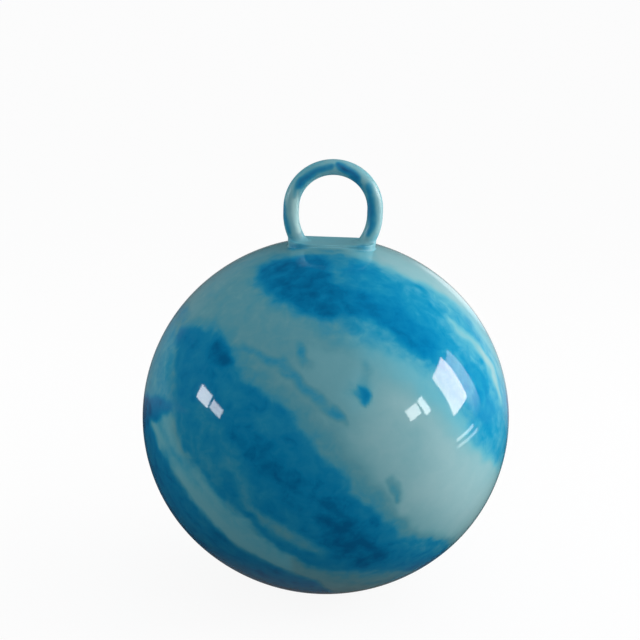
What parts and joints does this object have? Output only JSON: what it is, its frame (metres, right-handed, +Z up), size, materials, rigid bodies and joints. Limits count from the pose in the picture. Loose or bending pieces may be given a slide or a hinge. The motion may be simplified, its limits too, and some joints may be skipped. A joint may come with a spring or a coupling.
{
  "type": "hopper ball",
  "caption": "Inflated bouncing ball in marbled blue soft plastic, with a hollow ring handle on a raised saddle and a push-in stopper in a valve seat on the upper back.",
  "frame": {"origin": "centre of the flat patch where the ball meets the floor, under the ball's centre", "axes": "+Z up through the ball's pole; the ring handle lies in the XZ plane and faces -Y; the valve is towards +Y"},
  "size_m": [0.45, 0.45, 0.5377],
  "materials": {
    "marbled_skin": "glossy soft PVC, pale aqua marbled with deep blue and cyan",
    "valve_seat": "soft PVC, satin",
    "stopper": "white moulded plastic, satin"
  },
  "bodies": {
    "ball": {"ball_skin": "marbled_skin", "handle_saddle": "marbled_skin", "handle_ring": "marbled_skin", "valve_seat": "valve_seat"},
    "stopper": {"valve_plug": "stopper"}
  },
  "joints": [
    {"name": "stopper_pull", "type": "slide", "parent": "ball", "child": "stopper", "axis": [0, 0.6157, 0.788], "range_m": [0, 0.03]}
  ]
}
